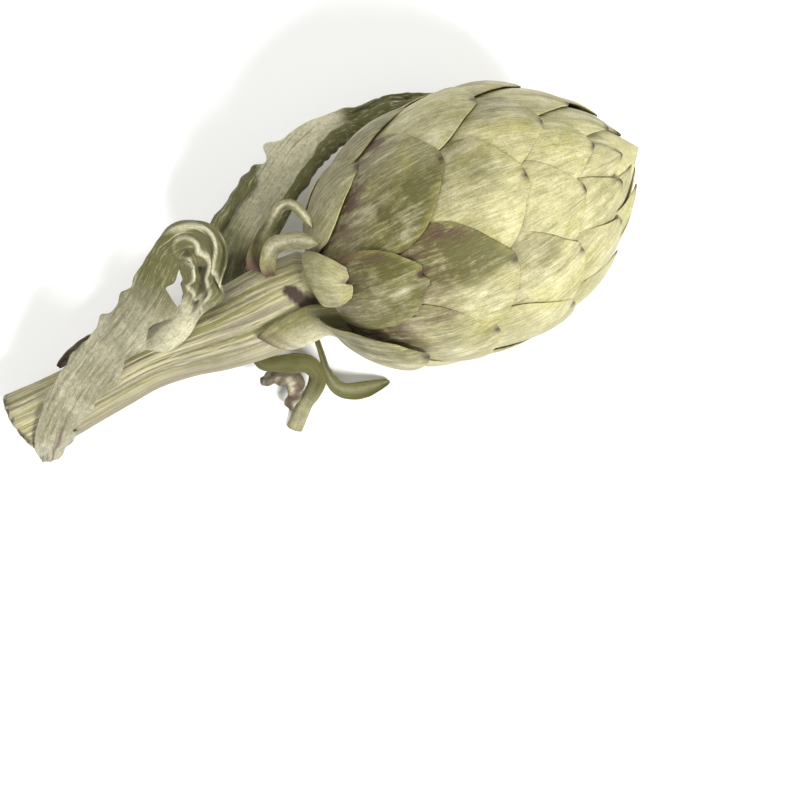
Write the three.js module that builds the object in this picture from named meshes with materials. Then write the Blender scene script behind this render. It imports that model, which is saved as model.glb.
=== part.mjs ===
// A globe artichoke lying on its side: a tilted head of overlapping bracts on a ribbed, cut stem that
// still carries three leaves and a few small bracts. Millimetres, +Z up, +X from the stem to the tip.
// The origin is the middle of the small flat spot that the head lies on.
import * as THREE from "three";
import { ParametricGeometry } from "three/addons/geometries/ParametricGeometry.js";

// ---- Driving dimensions: millimetres and degrees ----

const HEAD_TILT = 12.35; // the head's axis rises towards its tip
const FLAT_DEPTH = 0.9; // how far the head is pressed flat where it lies
// Outline of the closed head, from the neck to the tip: [distance along its axis, radius].
const HEAD_OUTLINE = [
  [-3, 11.6],
  [-1, 18],
  [3.5, 24],
  [10, 29.5],
  [20, 35],
  [32, 38.2],
  [46, 39.2],
  [60, 37.8],
  [72, 33],
  [82, 26.5],
  [90, 19],
  [95, 11],
  [97, 0],
];
const LAYERS_SHRINK_TO = 30; // each layer is the outline scaled towards this point of the axis
const LAYER_STEP = 0.0079; // share by which each next bract's layer is smaller

const BRACTS = 44;
const GOLDEN_ANGLE = 137.5; // turn from each bract to the next
const FIRST_ANGLE = -14.5; // the lowest bract, from straight up towards -Y
const FIRST_REACH = 24; // distance along the outline from the neck to the lowest bract's tip
const REACH_STEP = 3.75; // how much further each next tip is
const REACH_SLOWING = 0.0318; // and how fast those steps shrink towards the head's tip
const BRACT_HALF_WIDTH = 20;
const BRACT_HALF_ANGLE = 31; // the widest half angle that a bract spans around the head
const BRACT_ROUNDING = 20; // distance from the tip over which a bract reaches its full width
const BRACT_TIP_HALF_WIDTH = 1.4;
const BRACT_BODY = 3.3; // thickness at the middle and at the margins, in layer steps
const BRACT_MARGIN = 1;
const BODY_ANGLE = 9; // the full thickness ends this far from a bract's middle line
const MARGIN_ANGLE = 15; // and the thin margin starts here
const RESTING_BRACT = 5; // the bract that the head lies on
const RESTING_LAYER = 2;
const HEART_UNDER = 5; // layer steps between the innermost bract and the closed bud inside it

const STEM_LENGTH = 98; // from the neck to the middle of the cut
const CUT_SLANT = 0.2; // how much further the cut reaches, per millimetre towards +Y
const STEM_RIBS = 10;
const RIB_HEIGHT = 0.35;
const GAP = 0.35; // clearance between neighbouring pieces
const DRAPE_GAP = 1.6; // clearance under the middle of a blade that lies on the round stem

// ---- Materials ----

const material = (color, roughness = 0.75) => new THREE.MeshStandardMaterial({ color, roughness, metalness: 0 });
const bractGreen = () => material("#b9b78c", 0.6);
const budGreen = () => material("#cdc99b", 0.65);
const stemGreen = () => material("#a6a274", 0.7);
const leafGrey = () => material("#9a9a7b", 0.85);
const leafOlive = () => material("#8d8a45", 0.75);
const driedBrown = () => material("#5a4531", 0.9);

// ---- Small helpers ----

const radians = THREE.MathUtils.degToRad;
const clamp = THREE.MathUtils.clamp;
const lerp = THREE.MathUtils.lerp;

// Value of a list of equally spaced numbers at a share of its length.
function along(values, share) {
  const place = share * (values.length - 1);
  const index = Math.min(Math.floor(place), values.length - 2);
  return lerp(values[index], values[index + 1], place - index);
}

// A closed thin body. skin(across, share, side) gives its upper (side 1) and lower (side -1) skin, with
// across from -1 to 1 and share from 0 to 1, and side 0 is where its two ends fold shut.
function thinBody(skin, columns, stations) {
  const around = 2 * columns + 2;
  const rows = stations.length + 1;
  const point = (u, v, target) => {
    const step = Math.round(u * around) % around;
    const row = Math.round(v * rows);
    const isEnd = row === 0 || row === rows;
    const isUpper = step <= columns;
    const column = isUpper ? step : around - 1 - step;
    const side = isUpper ? 1 : -1;
    const share = stations[clamp(row - 1, 0, stations.length - 1)];
    target.copy(skin((2 * column) / columns - 1, share, isEnd ? 0 : side));
  };
  return new ParametricGeometry(point, around, rows);
}

const evenly = (count) => Array.from({ length: count + 1 }, (_, index) => index / count);

function named(name, geometry, meshMaterial) {
  const mesh = new THREE.Mesh(geometry, meshMaterial);
  mesh.name = name;
  return mesh;
}

// ---- The head's layers ----

const outline = new THREE.SplineCurve(HEAD_OUTLINE.map(([x, radius]) => new THREE.Vector2(x, radius)));
outline.arcLengthDivisions = 400;
const OUTLINE_LENGTH = outline.getLength();

// How far along the outline the tip of a bract lies, and which bract's tip lies at a distance.
const reachOf = (index) => FIRST_REACH + REACH_STEP * index - REACH_SLOWING * index * index;
function indexAt(distance) {
  const root = REACH_STEP * REACH_STEP - 4 * REACH_SLOWING * (distance - FIRST_REACH);
  return (REACH_STEP - Math.sqrt(Math.max(root, 0))) / (2 * REACH_SLOWING);
}

// Axial place and radius of a layer at a distance along the outline. Layers are counted from the
// outline inwards: a bract's own layer meets the outline at its tip.
function layerPoint(distance, layer) {
  const outer = outline.getPointAt(clamp(distance / OUTLINE_LENGTH, 0, 1));
  const scale = 1 - LAYER_STEP * layer;
  return new THREE.Vector2(lerp(LAYERS_SHRINK_TO, outer.x, scale), outer.y * scale);
}

// The head lies on the lowest point of its resting bract, so the head's own origin, the neck, is this
// high and this far back.
const tilt = radians(HEAD_TILT);
const upInHead = new THREE.Vector3(Math.sin(tilt), 0, Math.cos(tilt));
const restingPoint = (distance) => layerPoint(distance, RESTING_LAYER - indexAt(distance));
const contact = (() => {
  let lowest = null;
  for (const share of evenly(200)) {
    const p = restingPoint(share * OUTLINE_LENGTH);
    const height = p.x * Math.sin(tilt) - p.y * Math.cos(tilt);
    if (!lowest || height < lowest.height) lowest = { height, x: p.x, radius: p.y };
  }
  return lowest;
})();
const NECK_HEIGHT = -contact.height - FLAT_DEPTH;
const NECK_BACK = contact.x * Math.cos(tilt) + contact.radius * Math.sin(tilt);

// A point of a layer in the head's frame, at an angle from straight up towards -Y. Where the resting
// bract would reach below the surface that it lies on, all layers there are pushed up alike.
function headPoint(distance, angle, layer) {
  const ring = (p) => new THREE.Vector3(p.x, -p.y * Math.sin(angle), p.y * Math.cos(angle));
  const outerHeight = NECK_HEIGHT + ring(restingPoint(distance)).dot(upInHead);
  const point = ring(layerPoint(distance, layer));
  return point.addScaledVector(upInHead, Math.max(0, -outerHeight));
}

// ---- Bracts ----

// Stations along the outline that all bracts share, so that their facets lie parallel.
const sharedStation = (index) => 7 * index + 0.4 * index * index;

// The few bracts that grew away from the spiral: turn and reach shift the tip, width scales the
// bract, and layer lays it outside the others.
const HABITS = {
  1: { turn: 12, reach: 6, width: 0.95 },
  4: { turn: 20, reach: 4, width: 1.05, layer: -4 },
  9: { turn: 10, width: 0.76 },
  20: { turn: -2 },
  [RESTING_BRACT]: { turn: 4.5, reach: 12, width: 1.2, layer: RESTING_LAYER },
};

function bract(index) {
  const { turn = 0, reach: further = 0, width = 1, layer = index } = HABITS[index + 1] ?? {};
  const middle = radians(FIRST_ANGLE + GOLDEN_ANGLE * index + turn);
  const reach = reachOf(index) + further;
  const young = Math.min(1, 0.45 + 0.05 * index) * width;
  const distances = [];
  for (let i = 0; sharedStation(i) < reach - 2; i++) distances.push(sharedStation(i));
  if (reach - distances.at(-1) > 7) distances.push(reach - 4);
  distances.push(reach);

  const halfAngle = (distance) => {
    const rounding = Math.min(1, (reach - distance) / BRACT_ROUNDING) ** 0.9;
    const half = BRACT_TIP_HALF_WIDTH + BRACT_HALF_WIDTH * young * Math.sin((rounding * Math.PI) / 2);
    return Math.min(half / layerPoint(distance, 0).y, radians(BRACT_HALF_ANGLE) * Math.min(1, young + 0.2));
  };
  const thickness = (angle) => {
    const outward = clamp((Math.abs(angle) - radians(BODY_ANGLE)) / radians(MARGIN_ANGLE - BODY_ANGLE), 0, 1);
    return lerp(BRACT_BODY, BRACT_MARGIN, outward);
  };
  const skin = (across, share, side) => {
    const distance = distances[Math.round(share * (distances.length - 1))];
    const angle = across * halfAngle(distance);
    const inward = ((1 - side) / 2) * thickness(angle);
    return headPoint(distance, middle + angle, layer - indexAt(distance) + inward);
  };
  const columns = 5;
  const name = "bract_" + String(index + 1).padStart(2, "0");
  return named(name, thinBody(skin, columns, evenly(distances.length - 1)), bractGreen());
}

// The innermost bracts, closed into one bud. Its tip shows between the last bracts.
function heart() {
  const last = BRACTS - 1 + HEART_UNDER;
  const profile = evenly(12).map((share) => {
    const distance = share * OUTLINE_LENGTH;
    const p = layerPoint(distance, last - indexAt(distance));
    return new THREE.Vector2(Math.max(p.y, 0), p.x);
  });
  const base = new THREE.Vector2(0, profile[0].y);
  profile[profile.length - 1].x = 0;
  const geometry = new THREE.LatheGeometry([base, ...profile], 18);
  geometry.rotateZ(-Math.PI / 2);
  return named("heart", geometry, budGreen());
}

// ---- Stem ----

// Radius and sideways drift of the stem from the neck to the cut, equally spaced.
const STEM_RADII = [11.6, 12.4, 11.9, 10.8, 9.4, 8.7, 8.8, 9.1, 9.4, 9.6];
const STEM_DRIFT = [0, -0.3, -0.7, -0.5, 0.2, 0.4, -0.4, -1.4, -2.1, -2.4];
const RECEPTACLE = { start: -3.2, end: 7.6, startRadius: 10.6, endRadius: 6.6 };

// The stem in the head's frame: x runs from the receptacle, inside the head, back to the cut.
function stem() {
  const sides = 30;
  const stemShares = evenly(13);
  const lengthwise = (share) => -4 - share * (STEM_LENGTH - 4);
  const rings = [
    { x: RECEPTACLE.end, radius: RECEPTACLE.endRadius, drift: 0, ribs: 0 },
    { x: RECEPTACLE.start, radius: RECEPTACLE.startRadius, drift: 0, ribs: 0 },
    ...stemShares.map((share) => ({
      x: lengthwise(share),
      radius: along(STEM_RADII, share),
      drift: along(STEM_DRIFT, share),
      ribs: RIB_HEIGHT,
      slant: CUT_SLANT * share ** 6,
    })),
  ];
  const point = (u, v, target) => {
    const row = Math.round(v * (rings.length + 1));
    const { x, radius, drift, ribs, slant = 0 } = rings[clamp(row - 1, 0, rings.length - 1)];
    const isEnd = row === 0 || row === rings.length + 1;
    const angle = -u * 2 * Math.PI;
    const r = isEnd ? 0 : radius + ribs * Math.cos(STEM_RIBS * angle);
    const y = -r * Math.sin(angle);
    target.set(x - slant * y, drift + y, r * Math.cos(angle));
    const height = NECK_HEIGHT + target.dot(upInHead);
    target.addScaledVector(upInHead, Math.max(0, -height));
  };
  return named("stem", new ParametricGeometry(point, sides, rings.length + 1), stemGreen());
}

const stemShare = (x) => clamp((-x - 4) / (STEM_LENGTH - 4), 0, 1);

// Height of the top of the stem over a place of the surface, counted from under the neck, or -Infinity
// beside the stem.
function stemTop(x, y) {
  const fromNeck = x / Math.cos(tilt);
  const share = stemShare(fromNeck);
  const reach = (along(STEM_RADII, share) + RIB_HEIGHT + GAP) ** 2 - (y - along(STEM_DRIFT, share)) ** 2;
  if (reach < 0) return -Infinity;
  return NECK_HEIGHT + fromNeck * Math.sin(tilt) + Math.sqrt(reach) / Math.cos(tilt);
}

// A small bract that clasps the stem just below the head.
const CLASP = { start: -20.5, end: -4.8, middle: 50, halfAngle: 32, thickness: 1.3 };

function stemBract() {
  const shares = evenly(5);
  const skin = (across, share, side) => {
    const x = lerp(CLASP.start, CLASP.end, share);
    const angle = radians(CLASP.middle + across * CLASP.halfAngle * Math.sin(Math.PI * (0.25 + 0.5 * share)));
    const radius = along(STEM_RADII, stemShare(x)) + RIB_HEIGHT + 2 * GAP + CLASP.thickness * (0.5 + side / 2);
    const drift = along(STEM_DRIFT, stemShare(x));
    return new THREE.Vector3(x, drift - radius * Math.sin(angle), radius * Math.cos(angle));
  };
  return named("stem_bract", thinBody(skin, 4, shares), budGreen());
}

// ---- Leaves and loose small bracts ----

// A leaf follows a route of points [x, y, z, half width, thickness, roll, cup], with x counted from the
// neck: roll turns the blade about its route, and cup is the half angle of its curved section, with its
// margins down if positive. Over the stem it may be kept above the stem's top.
function leaf(name, route, rows, columns, meshMaterial, isAboveStem = false) {
  const middle = new THREE.CatmullRomCurve3(route.map(([x, y, z]) => new THREE.Vector3(x, y, z)), false, "centripetal");
  const column = (index) => route.map((station) => station[index]);
  const [halves, thicknesses, rolls, cups] = [3, 4, 5, 6].map(column);
  const skin = (across, share, side) => {
    const forward = middle.getTangent(share);
    const sideways = new THREE.Vector3(0, 0, 1).cross(forward).normalize();
    const upward = forward.clone().cross(sideways);
    const roll = radians(along(rolls, share));
    sideways.applyAxisAngle(forward, roll);
    upward.applyAxisAngle(forward, roll);
    const cup = radians(along(cups, share)) || 1e-3;
    const bend = along(halves, share) / cup;
    const lift = (side * along(thicknesses, share)) / 2;
    const point = middle.getPoint(share);
    point.addScaledVector(sideways, -(bend + lift) * Math.sin(across * cup));
    point.addScaledVector(upward, (bend + lift) * Math.cos(across * cup) - bend);
    if (isAboveStem) point.z = Math.max(point.z, stemTop(point.x, point.y) + DRAPE_GAP + lift);
    return point;
  };
  return named(name, thinBody(skin, columns, evenly(rows)), meshMaterial);
}

// The long leaf beside the head: from the stem's +Y side down to the surface beside the head's tip.
const LONG_LEAF = [
  [-27, 11.5, 13.5, 4.5, 1.4, 0, 15],
  [-23, 16.5, 19, 6.8, 1.3, 0, 25],
  [-18.2, 21, 23.5, 7.8, 1.2, 0, 30],
  [-4.4, 30.6, 26, 6.6, 1.2, 0, 34],
  [9.6, 39.2, 25, 6.4, 1.2, 0, 38],
  [19.4, 41.4, 22, 4.6, 1.2, 0, 40],
  [29, 41.6, 18.5, 3.4, 1.2, 0, 38],
  [38.5, 41.6, 14.5, 3, 1.2, 0, 30],
  [51.8, 36.5, 8, 3, 1.2, 0, 20],
  [63.6, 29.4, 3.4, 3, 1.1, 0, 12],
  [73.3, 22.3, 1, 1.8, 0.9, 0, 6],
];

// The leaf that springs from the top of the stem, arches up and back, and drapes to the cut end.
const REFLEXED_LEAF = [
  [-53.8, 3.9, 29.5, 2.2, 2, 0, 10],
  [-48.5, 4, 31.6, 4.4, 3.4, 0, 20],
  [-42.8, 5.4, 34.2, 4.4, 3, 0, 20],
  [-37, 8.1, 38, 3.2, 2.2, 0, -20],
  [-31.5, 12.5, 43, 4.8, 1.4, 0, -40],
  [-28.1, 17.9, 47, 5.4, 1.2, 0, -40],
  [-28.2, 22.9, 49.5, 5.2, 1.1, 0, 10],
  [-31.7, 25, 50.5, 4.8, 1.1, 0, 20],
  [-36.9, 23.6, 49.5, 5, 1.1, 0, 20],
  [-43.1, 18.9, 46, 5.4, 1.1, 0, 15],
  [-49.2, 14, 41, 5.9, 1.1, 0, 15],
  [-56.9, 9.8, 36, 6.2, 1.1, 0, 15],
  [-64.3, 6.4, 31, 6.6, 1.1, 0, 18],
  [-72.4, 1.9, 27, 7.2, 1.1, -8, 25],
  [-79.2, -2.6, 24.5, 7.4, 1.1, -16, 35],
  [-85.6, -7.6, 20.5, 6.6, 1.1, -26, 40],
  [-90.6, -12, 13.5, 5, 1.1, -30, 30],
  [-93.5, -14.8, 6, 2.4, 0.9, -30, 10],
];

// The narrow leaf that hangs from the stem's -Y side to the surface.
const HANGING_LEAF = [
  [-25.6, -14, 18, 2.4, 1.1, 40, 10],
  [-19.5, -16.6, 18, 3.4, 1.1, 30, 12],
  [-14.5, -18.9, 16.5, 3.3, 1.1, 20, 14],
  [-12.9, -22.8, 12.5, 2.9, 1.1, 10, 14],
  [-16, -26.5, 8, 2.5, 1.1, 0, 10],
  [-20.6, -29.8, 3.6, 2.4, 1.1, 0, 8],
  [-25.5, -34.3, 0.8, 2.3, 1, 0, 5],
];

const HOOK_BRACTLET = [
  [-8.5, -13.4, 19.5, 1, 1, 40, 5],
  [-8.9, -18.2, 16, 1.3, 1, 40, 10],
  [-9.5, -22.2, 11, 1.6, 1, 30, 20],
  [-8.5, -28, 6, 2.3, 1, 20, 25],
  [-3.2, -31.3, 3.6, 2.6, 1, 10, 25],
  [6, -32.2, 1.1, 1.9, 0.9, 0, 10],
];

const LOOP_BRACTLET = [
  [-17, 11.2, 36, 2.8, 1, 0, 10],
  [-13.6, 16, 39.5, 2, 1, 0, 20],
  [-7.8, 20.6, 45, 1.5, 1, 0, 20],
  [-3, 23.6, 50, 1.4, 1, 0, 20],
  [0.2, 22.8, 52.5, 1.3, 1, 0, 15],
  [1.6, 19.6, 53.5, 1, 0.9, 0, 10],
];

const CURL_BRACTLET = [
  [-13.3, 8, 38.6, 1.8, 1.1, 0, 10],
  [-12.4, 11.3, 43.5, 2.4, 1.1, 0, 20],
  [-9.3, 14.2, 48.8, 2.9, 1.1, 0, 30],
  [-4, 13.6, 54, 2.9, 1.1, 0, 30],
  [-0.2, 11.6, 58, 2.3, 1, 0, 25],
  [2.4, 9.8, 60, 1, 0.9, 0, 10],
];

const DRIED_TIP = [
  [-79.6, 8.8, 17.8, 0.9, 1, 30, 10],
  [-74.5, 10.2, 19.6, 1.8, 1.6, 30, 20],
  [-70.2, 11.4, 20.6, 2, 1.7, 30, 20],
  [-66.9, 12.6, 21.2, 1.1, 1.2, 30, 10],
];

// ---- Assembly ----

const head = new THREE.Group();
head.position.set(-NECK_BACK, 0, NECK_HEIGHT);
head.rotation.y = -tilt;
for (let index = 0; index < BRACTS; index++) head.add(bract(index));
head.add(heart(), stem(), stemBract());

const leaves = new THREE.Group();
leaves.position.x = -NECK_BACK;
leaves.add(
  leaf("leaf_long", LONG_LEAF, 20, 4, leafGrey()),
  leaf("leaf_reflexed", REFLEXED_LEAF, 34, 4, leafGrey(), true),
  leaf("leaf_hanging", HANGING_LEAF, 12, 2, leafOlive()),
  leaf("bractlet_hook", HOOK_BRACTLET, 10, 2, leafOlive()),
  leaf("bractlet_loop", LOOP_BRACTLET, 10, 2, bractGreen(), true),
  leaf("bractlet_curl", CURL_BRACTLET, 10, 2, bractGreen(), true),
  leaf("dried_leaf_tip", DRIED_TIP, 6, 2, driedBrown(), true),
);

const artichoke = new THREE.Group();
artichoke.add(head, leaves);

export default artichoke;
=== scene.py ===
"""A globe artichoke that lies on its side: a tilted head of overlapping bracts on a ribbed, cut stem with
three withered leaves and a few small curled bracts. Lengths in the shape functions are millimetres."""

import math
import random

import bmesh
import bpy
from bpy.props import FloatProperty, FloatVectorProperty, IntProperty, PointerProperty
from mathutils import Matrix, Vector, noise


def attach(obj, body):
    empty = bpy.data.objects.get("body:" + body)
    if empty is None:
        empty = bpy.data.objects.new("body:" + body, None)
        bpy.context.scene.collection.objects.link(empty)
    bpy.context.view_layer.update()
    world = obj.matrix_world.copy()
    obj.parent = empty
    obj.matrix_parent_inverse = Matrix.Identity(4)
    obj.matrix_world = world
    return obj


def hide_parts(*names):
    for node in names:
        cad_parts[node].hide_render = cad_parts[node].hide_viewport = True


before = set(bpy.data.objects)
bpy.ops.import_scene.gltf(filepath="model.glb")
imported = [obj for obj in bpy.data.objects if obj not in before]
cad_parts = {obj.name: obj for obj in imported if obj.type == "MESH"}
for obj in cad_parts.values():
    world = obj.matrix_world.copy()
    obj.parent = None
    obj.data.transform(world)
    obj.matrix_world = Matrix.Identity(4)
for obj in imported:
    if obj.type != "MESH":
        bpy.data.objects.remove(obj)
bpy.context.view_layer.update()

bl_info = {
    "name": "Artichoke",
    "version": (1, 0, 0),
    "blender": (4, 5, 0),
    "location": "View3D > Sidebar > Artichoke",
    "description": "Builds a globe artichoke lying on its side",
    "category": "Object",
}

MM = 0.001
BODY = "root"
BRACTS = sorted(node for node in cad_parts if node.startswith("bract_"))


# ---- Settings ----


def length_property(name, description, millimetres):
    return FloatProperty(name=name, description=description, default=millimetres * MM, unit="LENGTH")


def colour_property(name, description, colour):
    return FloatVectorProperty(
        name=name, description=description, default=colour, subtype="COLOR", min=0, max=1
    )


class HeadSettings(bpy.types.PropertyGroup):
    tilt: FloatProperty(
        name="Tilt",
        description="How far the head's axis rises towards its tip",
        default=math.radians(12.35),
        unit="ROTATION",
    )
    thickness: length_property("Bract thickness", "Thickness of a bract at its middle", 1.15)
    seed: IntProperty(name="Seed", description="Seed of what differs from bract to bract", default=11)
    pale: colour_property("Pale green", "Colour of a bract's smooth back", (0.45, 0.415, 0.205))
    grey: colour_property("Grey green", "Colour of a bract's duller parts", (0.215, 0.198, 0.085))
    olive: colour_property("Olive", "Colour of the greenest patches", (0.066, 0.06, 0.007))
    cream: colour_property("Cream", "Colour of the light fibres", (0.68, 0.64, 0.46))
    blush: colour_property("Blush", "Colour of the purple brown blush", (0.07, 0.03, 0.022))
    margin: colour_property("Margin", "Colour of a bract's thin margin", (0.3, 0.275, 0.05))
    scar: colour_property("Scar", "Colour of dried tips and scars", (0.035, 0.02, 0.01))


class StemSettings(bpy.types.PropertyGroup):
    ribs: IntProperty(name="Ribs", description="Ribs around the stem", default=23)
    rib_height: length_property("Rib height", "How far a rib stands out", 0.55)
    light: colour_property("Rib", "Colour of the ribs", (0.41, 0.375, 0.215))
    dark: colour_property("Furrow", "Colour of the furrows", (0.12, 0.11, 0.05))
    # Mauve also lays the painted shade on the stem's flank towards -Y.
    mauve: colour_property("Mauve", "Colour of the dull bands", (0.19, 0.165, 0.115))
    pith: colour_property("Pith", "Colour of the cut face", (0.45, 0.42, 0.26))
    olive: colour_property("Stripe", "Colour of the olive stripes", (0.17, 0.158, 0.045))


class LeafSettings(bpy.types.PropertyGroup):
    thickness: length_property("Leaf thickness", "Thickness of a withered leaf", 0.7)
    grey: colour_property("Felt", "Colour of the felted side", (0.31, 0.29, 0.2))
    green: colour_property("Green", "Colour of the leaf's green parts", (0.07, 0.067, 0.012))
    # The midrib colour also lays painted highlights on the reflexed leaf's folds and the hanging leaf's
    # lower end.
    rib: colour_property("Midrib", "Colour of the midrib", (0.58, 0.545, 0.37))
    olive: colour_property("Olive", "Colour of the small limp leaves", (0.072, 0.067, 0.006))
    mauve: colour_property("Dried", "Colour of the dried, crumpled parts", (0.17, 0.135, 0.075))


class StageSettings(bpy.types.PropertyGroup):
    camera_height: length_property("Camera height", "Height of the camera over the floor", 1000)
    camera_turn: FloatProperty(
        name="Camera turn",
        description="How far the view is turned about the vertical",
        default=math.radians(-23),
        unit="ROTATION",
    )
    field: length_property("Field", "Width of the view at the height of the head's axis", 224)
    floor: colour_property("Floor", "Colour of the floor", (0.86, 0.86, 0.85))


# ---- The head's layers, as in the frame ----

# Outline of the closed head, from the neck to the tip: distance along its axis, and radius.
HEAD_OUTLINE = [
    (-3, 11.6),
    (-1, 18),
    (3.5, 24),
    (10, 29.5),
    (20, 35),
    (32, 38.2),
    (46, 39.2),
    (60, 37.8),
    (72, 33),
    (82, 26.5),
    (90, 19),
    (95, 11),
    (97, 0),
]
# The layers, each a copy of the outline shrunk towards a place on its axis; the spiral's angles in
# degrees; how far along the outline each bract reaches; and a bract's widths and rounding.
FLAT_DEPTH = 0.9
LAYERS_SHRINK_TO = 30
LAYER_STEP = 0.0079
FIBRE_UNIT = 10  # millimetres to one step of the fibre texture
GOLDEN_ANGLE = 137.5
FIRST_ANGLE = -14.5
FIRST_REACH = 24
REACH_STEP = 3.75
REACH_SLOWING = 0.0318
BRACT_HALF_WIDTH = 20
BRACT_HALF_ANGLE = 31
BRACT_ROUNDING = 20
SCALE_BRACT = 1
ROLLED_BRACT = 4
SPLIT_BRACT = 9
LAST_OUTER_BRACT = 24
RESTING_LAYER = 2
HEART_UNDER = 6
TIPS_OF_BUD = (45, 46, 47, 48)


def mix(a, b, share):
    return a + (b - a) * share


def clamp(value, low=0.0, high=1.0):
    return max(low, min(high, value))


def smooth(value, low, high):
    """0 below low, 1 above high and a soft step between them, which may run either way."""
    share = clamp((value - low) / (high - low))
    return share * share * (3 - 2 * share)


def bump_at(value, middle, spread):
    return math.exp(-(((value - middle) / spread) ** 2))


def spline(values, place):
    """A smooth curve through equally spaced numbers or tuples, at a place counted in their steps."""
    index = int(clamp(math.floor(place), 0, len(values) - 2))
    t = place - index
    last = len(values) - 1
    a, b, c, d = (values[int(clamp(index + k, 0, last))] for k in (-1, 0, 1, 2))

    def blend(a, b, c, d):
        v0, v1 = (c - a) / 2, (d - b) / 2
        return (2 * b - 2 * c + v0 + v1) * t**3 + (3 * c - 3 * b - 2 * v0 - v1) * t**2 + v0 * t + b

    if isinstance(a, tuple):
        return tuple(blend(*parts) for parts in zip(a, b, c, d))
    return blend(a, b, c, d)


def spline_at(values, share):
    """The same curve at a share of its whole."""
    return spline(values, share * (len(values) - 1))


class HeadShape:
    """The head's outline by length, and its layers, which shrink towards a point of the axis."""

    SAMPLES = 40

    def __init__(self, tilt):
        steps = (len(HEAD_OUTLINE) - 1) * self.SAMPLES
        self.points = [spline(HEAD_OUTLINE, step / self.SAMPLES) for step in range(steps + 1)]
        self.lengths = [0.0]
        for (x0, r0), (x1, r1) in zip(self.points, self.points[1:]):
            self.lengths.append(self.lengths[-1] + math.hypot(x1 - x0, r1 - r0))
        self.length = self.lengths[-1]
        self.tilt = tilt
        self.up = Vector((math.sin(tilt), 0, math.cos(tilt)))
        lowest = min((self.resting(self.length * i / 400) for i in range(401)), key=self.height_below)
        self.neck_height = -self.height_below(lowest) - FLAT_DEPTH
        self.neck_back = lowest[0] * math.cos(tilt) + lowest[1] * math.sin(tilt)
        self.to_row = Matrix.Translation((-self.neck_back, 0, self.neck_height)) @ Matrix.Rotation(
            -tilt, 4, "Y"
        )

    def height_below(self, point):
        return point[0] * math.sin(self.tilt) - point[1] * math.cos(self.tilt)

    def outline(self, distance):
        distance = clamp(distance, 0, self.length)
        low, high = 0, len(self.lengths) - 1
        while high - low > 1:
            middle = (low + high) // 2
            low, high = (middle, high) if self.lengths[middle] <= distance else (low, middle)
        share = (distance - self.lengths[low]) / (self.lengths[high] - self.lengths[low])
        return [mix(a, b, share) for a, b in zip(self.points[low], self.points[high])]

    def layer(self, distance, layer):
        x, radius = self.outline(distance)
        scale = 1 - LAYER_STEP * layer
        return mix(LAYERS_SHRINK_TO, x, scale), radius * scale

    def resting(self, distance):
        return self.layer(distance, RESTING_LAYER - index_at(distance))

    def point(self, distance, angle, layer):
        """A point of a layer in the head's frame, its angle counted from straight up towards -Y."""

        def ring(x, radius):
            return Vector((x, -radius * math.sin(angle), radius * math.cos(angle)))

        lowest = self.neck_height + ring(*self.resting(distance)).dot(self.up)
        return ring(*self.layer(distance, layer)) + self.up * max(0, -lowest)


def reach_of(index):
    return FIRST_REACH + REACH_STEP * index - REACH_SLOWING * index * index


def index_at(distance):
    root = REACH_STEP**2 - 4 * REACH_SLOWING * (distance - FIRST_REACH)
    return (REACH_STEP - math.sqrt(max(root, 0))) / (2 * REACH_SLOWING)


# ---- Mesh helpers ----


def linked(name, data):
    """Makes an object of its data and links it into the scene."""
    made = bpy.data.objects.new(name, data)
    bpy.context.scene.collection.objects.link(made)
    return made


def spun(points, steps):
    """A profile of x and radius spun about the X axis into a closed form."""
    mesh = bmesh.new()
    profile = [mesh.verts.new((x, 0, radius)) for x, radius in points]
    edges = [mesh.edges.new(pair) for pair in zip(profile, profile[1:])]
    bmesh.ops.spin(
        mesh,
        geom=profile + edges,
        cent=(0, 0, 0),
        axis=(1, 0, 0),
        angle=2 * math.pi,
        steps=steps,
        use_merge=True,
    )
    bmesh.ops.remove_doubles(mesh, verts=mesh.verts, dist=1e-4)
    bmesh.ops.recalc_face_normals(mesh, faces=mesh.faces)
    return mesh


def finish_object(name, mesh_builder, material, node):
    """Makes an object of a bmesh in millimetres, in the row's frame, and hangs it on the frame."""
    mesh = bpy.data.meshes.new(name)
    bmesh.ops.scale(mesh_builder, vec=(MM, MM, MM), verts=mesh_builder.verts)
    mesh_builder.to_mesh(mesh)
    mesh_builder.free()
    mesh.polygons.foreach_set("use_smooth", [True] * len(mesh.polygons))
    piece = linked(name, mesh)
    mesh.materials.append(material)
    subdivision = piece.modifiers.new("Smooth", "SUBSURF")
    subdivision.levels = subdivision.render_levels = 1
    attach(piece, BODY)
    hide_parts(node)
    return piece


class Sheet:
    """A grid whose vertices a function places, with its thickness, texture place and attributes."""

    def __init__(self, columns, rows):
        self.mesh = bmesh.new()
        bmesh.ops.create_grid(self.mesh, x_segments=columns, y_segments=rows, size=1)
        self.uv = self.mesh.loops.layers.uv.new("fibres")
        self.weights = self.mesh.verts.layers.deform.verify()

    def place(self, function, lowest=0.5):
        """function(across, share) gives a point, a thickness share, a texture place and attributes.

        No vertex comes under the height called lowest.
        """
        layers = {name: self.mesh.verts.layers.float.new(name) for name in function(0, 0.5)[3]}
        places = {}
        for vertex in self.mesh.verts:
            across, share = vertex.co.x, (vertex.co.y + 1) / 2
            point, weight, texture, attributes = function(across, share)
            point.z = max(point.z, lowest)
            vertex.co = point
            vertex[self.weights][0] = clamp(weight, 0.02)
            places[vertex] = texture
            for name, value in attributes.items():
                vertex[layers[name]] = value
        for face in self.mesh.faces:
            for loop in face.loops:
                loop[self.uv].uv = places[loop.vert]

    def face_towards(self, outward):
        """Turns the sheet's faces so that they look along outward at its middle."""
        self.mesh.normal_update()
        if sum(face.normal.dot(outward(face.calc_center_median())) for face in self.mesh.faces) < 0:
            bmesh.ops.reverse_faces(self.mesh, faces=self.mesh.faces)


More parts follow.
